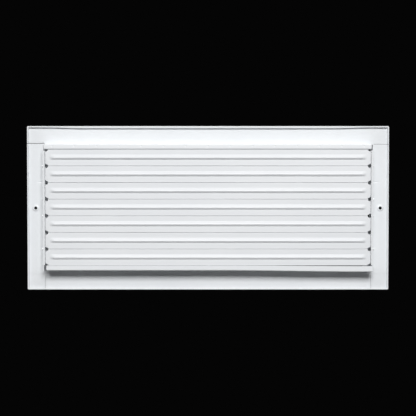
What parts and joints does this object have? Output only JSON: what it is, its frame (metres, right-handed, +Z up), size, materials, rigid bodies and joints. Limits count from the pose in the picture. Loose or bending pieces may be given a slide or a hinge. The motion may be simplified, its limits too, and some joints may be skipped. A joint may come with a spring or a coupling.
{
  "type": "wall register",
  "caption": "Steel wall register: folded flange frame with a shallow duct neck, a stack of linked pressed shutters worked by one lever, and fixed angled fins on the room side.",
  "frame": {"origin": "midpoint between the two screw holes, on the flange's back face", "axes": "+X along the register's length, +Y out of the wall into the room, +Z up"},
  "size_m": [0.5588, 0.0421, 0.2528],
  "materials": {
    "frame_paint": "semi-gloss white enamel",
    "shutter_paint": "semi-gloss white enamel",
    "fin_paint": "semi-gloss white enamel",
    "zinc_steel": "bright zinc plate",
    "knob_plastic": "satin"
  },
  "bodies": {
    "register_frame": {"top_rail": "frame_paint", "bottom_rail": "frame_paint", "left_side_rail": "frame_paint", "right_side_rail": "frame_paint", "left_shutter_bracket": "frame_paint", "right_shutter_bracket": "frame_paint", "left_wall_rivets": "zinc_steel", "right_wall_rivets": "zinc_steel", "left_pivot_pins": "zinc_steel", "right_pivot_pins": "zinc_steel", "left_fin_rail": "fin_paint", "right_fin_rail": "fin_paint", "fin_01": "fin_paint", "fin_02": "fin_paint", "fin_03": "fin_paint", "fin_04": "fin_paint", "fin_05": "fin_paint", "fin_06": "fin_paint", "fin_07": "fin_paint", "fin_08": "fin_paint", "fin_09": "fin_paint", "fin_10": "fin_paint", "fin_11": "fin_paint", "fin_12": "fin_paint", "fin_13": "fin_paint", "fin_stay": "fin_paint"},
    "shutter_body_1": {"shutter_1": "shutter_paint", "crank_pin_1": "zinc_steel"},
    "shutter_body_2": {"shutter_2": "shutter_paint", "crank_pin_2": "zinc_steel"},
    "shutter_body_3": {"shutter_3": "shutter_paint", "crank_pin_3": "zinc_steel"},
    "shutter_body_4": {"shutter_4": "shutter_paint", "crank_pin_4": "zinc_steel", "lever": "zinc_steel", "lever_knob": "knob_plastic", "lever_rivet": "zinc_steel"},
    "shutter_body_5": {"shutter_5": "shutter_paint", "crank_pin_5": "zinc_steel"},
    "shutter_body_6": {"shutter_6": "shutter_paint", "crank_pin_6": "zinc_steel"},
    "shutter_body_7": {"shutter_7": "shutter_paint", "crank_pin_7": "zinc_steel"},
    "link": {"link_bar": "zinc_steel"}
  },
  "joints": [
    {"name": "shutter_4_turn", "type": "hinge", "parent": "register_frame", "child": "shutter_body_4", "pos_m": [0, -0.0185, 0.0012], "axis": [-1, 0, 0], "range_deg": [0, 85]},
    {"name": "shutter_1_turn", "type": "hinge", "parent": "register_frame", "child": "shutter_body_1", "pos_m": [0, -0.0185, 0.0774], "axis": [-1, 0, 0], "range_deg": [0, 85]},
    {"name": "shutter_2_turn", "type": "hinge", "parent": "register_frame", "child": "shutter_body_2", "pos_m": [0, -0.0185, 0.052], "axis": [-1, 0, 0], "range_deg": [0, 85]},
    {"name": "shutter_3_turn", "type": "hinge", "parent": "register_frame", "child": "shutter_body_3", "pos_m": [0, -0.0185, 0.0266], "axis": [-1, 0, 0], "range_deg": [0, 85]},
    {"name": "shutter_5_turn", "type": "hinge", "parent": "register_frame", "child": "shutter_body_5", "pos_m": [0, -0.0185, -0.0242], "axis": [-1, 0, 0], "range_deg": [0, 85]},
    {"name": "shutter_6_turn", "type": "hinge", "parent": "register_frame", "child": "shutter_body_6", "pos_m": [0, -0.0185, -0.0496], "axis": [-1, 0, 0], "range_deg": [0, 85]},
    {"name": "shutter_7_turn", "type": "hinge", "parent": "register_frame", "child": "shutter_body_7", "pos_m": [0, -0.0185, -0.075], "axis": [-1, 0, 0], "range_deg": [0, 85]},
    {"name": "link_turn", "type": "hinge", "parent": "shutter_body_4", "child": "link", "pos_m": [0.2494, -0.0126, 0.0066], "axis": [-1, 0, 0], "range_deg": [-85, 0]}
  ],
  "couplings": [
    {"joint": "shutter_1_turn", "follows": "shutter_4_turn", "ratio": 1},
    {"joint": "shutter_2_turn", "follows": "shutter_4_turn", "ratio": 1},
    {"joint": "shutter_3_turn", "follows": "shutter_4_turn", "ratio": 1},
    {"joint": "shutter_5_turn", "follows": "shutter_4_turn", "ratio": 1},
    {"joint": "shutter_6_turn", "follows": "shutter_4_turn", "ratio": 1},
    {"joint": "shutter_7_turn", "follows": "shutter_4_turn", "ratio": 1},
    {"joint": "link_turn", "follows": "shutter_4_turn", "ratio": -1}
  ]
}
